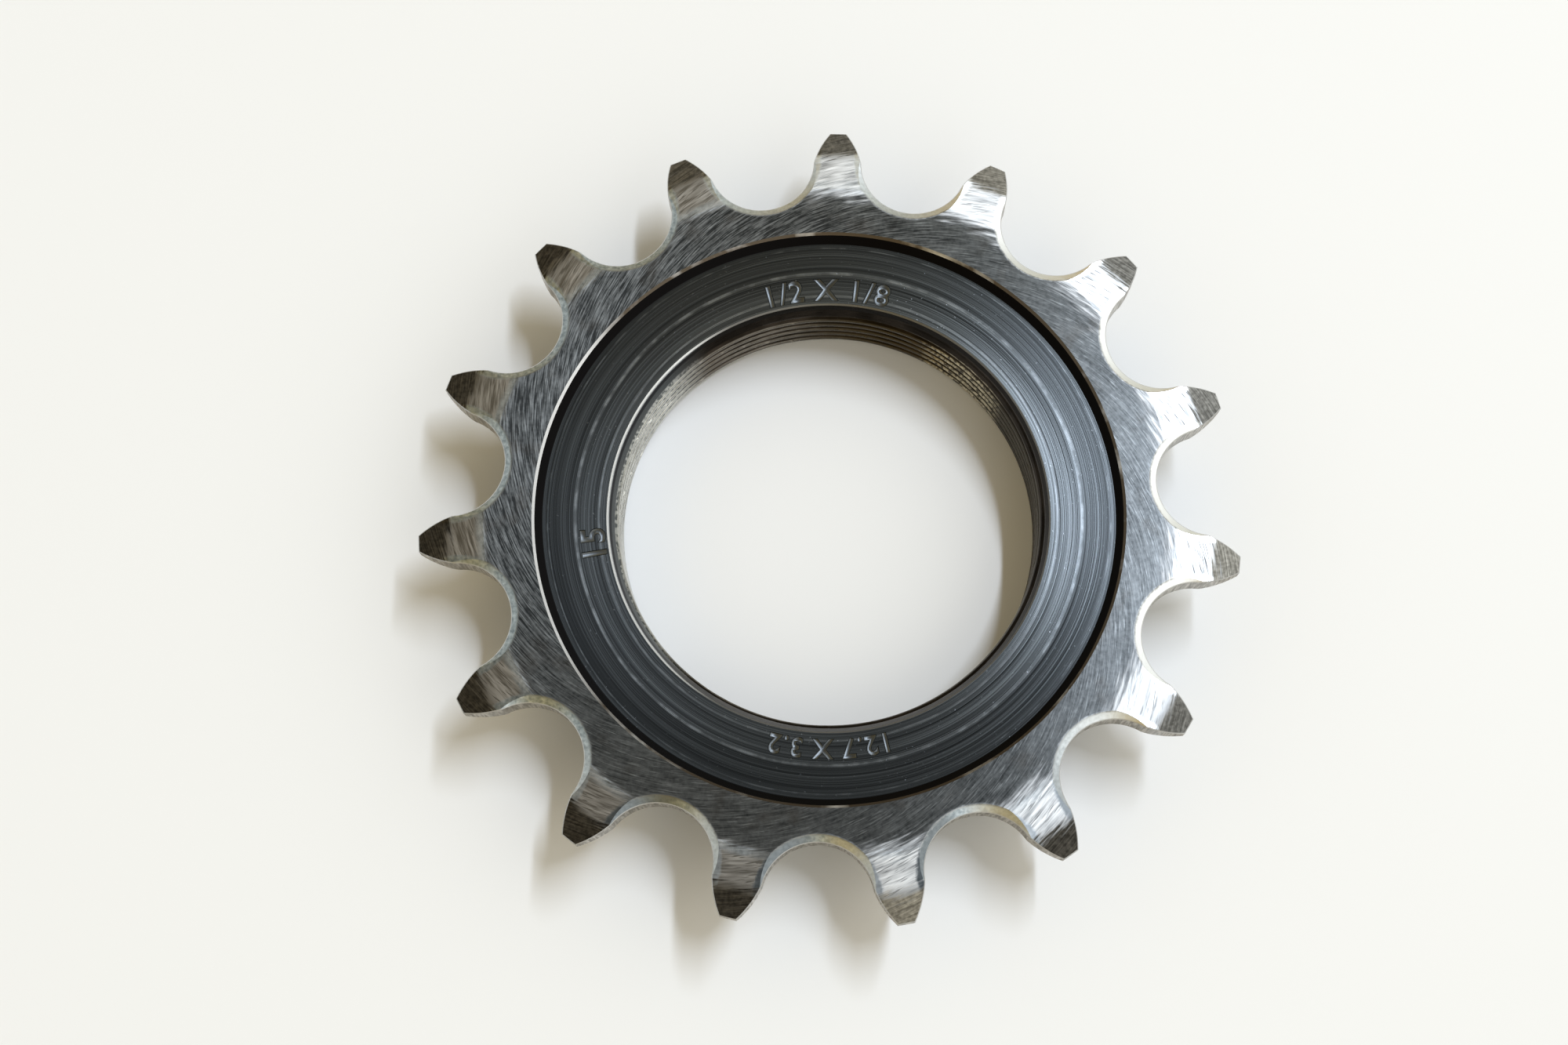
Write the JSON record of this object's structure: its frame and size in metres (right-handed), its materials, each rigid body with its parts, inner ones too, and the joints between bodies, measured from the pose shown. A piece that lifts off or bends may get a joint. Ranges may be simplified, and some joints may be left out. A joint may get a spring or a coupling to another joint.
{
  "type": "track cog",
  "caption": "One-piece steel bicycle cog that screws onto a track hub: toothed plate for a half-inch chain, lockring recess, threaded bore and rear boss.",
  "frame": {"origin": "on the bore axis, in the plane of the boss face that meets the hub", "axes": "+Z along the bore axis towards the lockring side, +Y through the middle of one tooth"},
  "size_m": [0.0656, 0.0652, 0.008],
  "materials": {
    "steel": "ground and oiled dark steel, worn bright on the tooth sides"
  },
  "bodies": {
    "root": {"track_cog": "steel"}
  },
  "joints": []
}
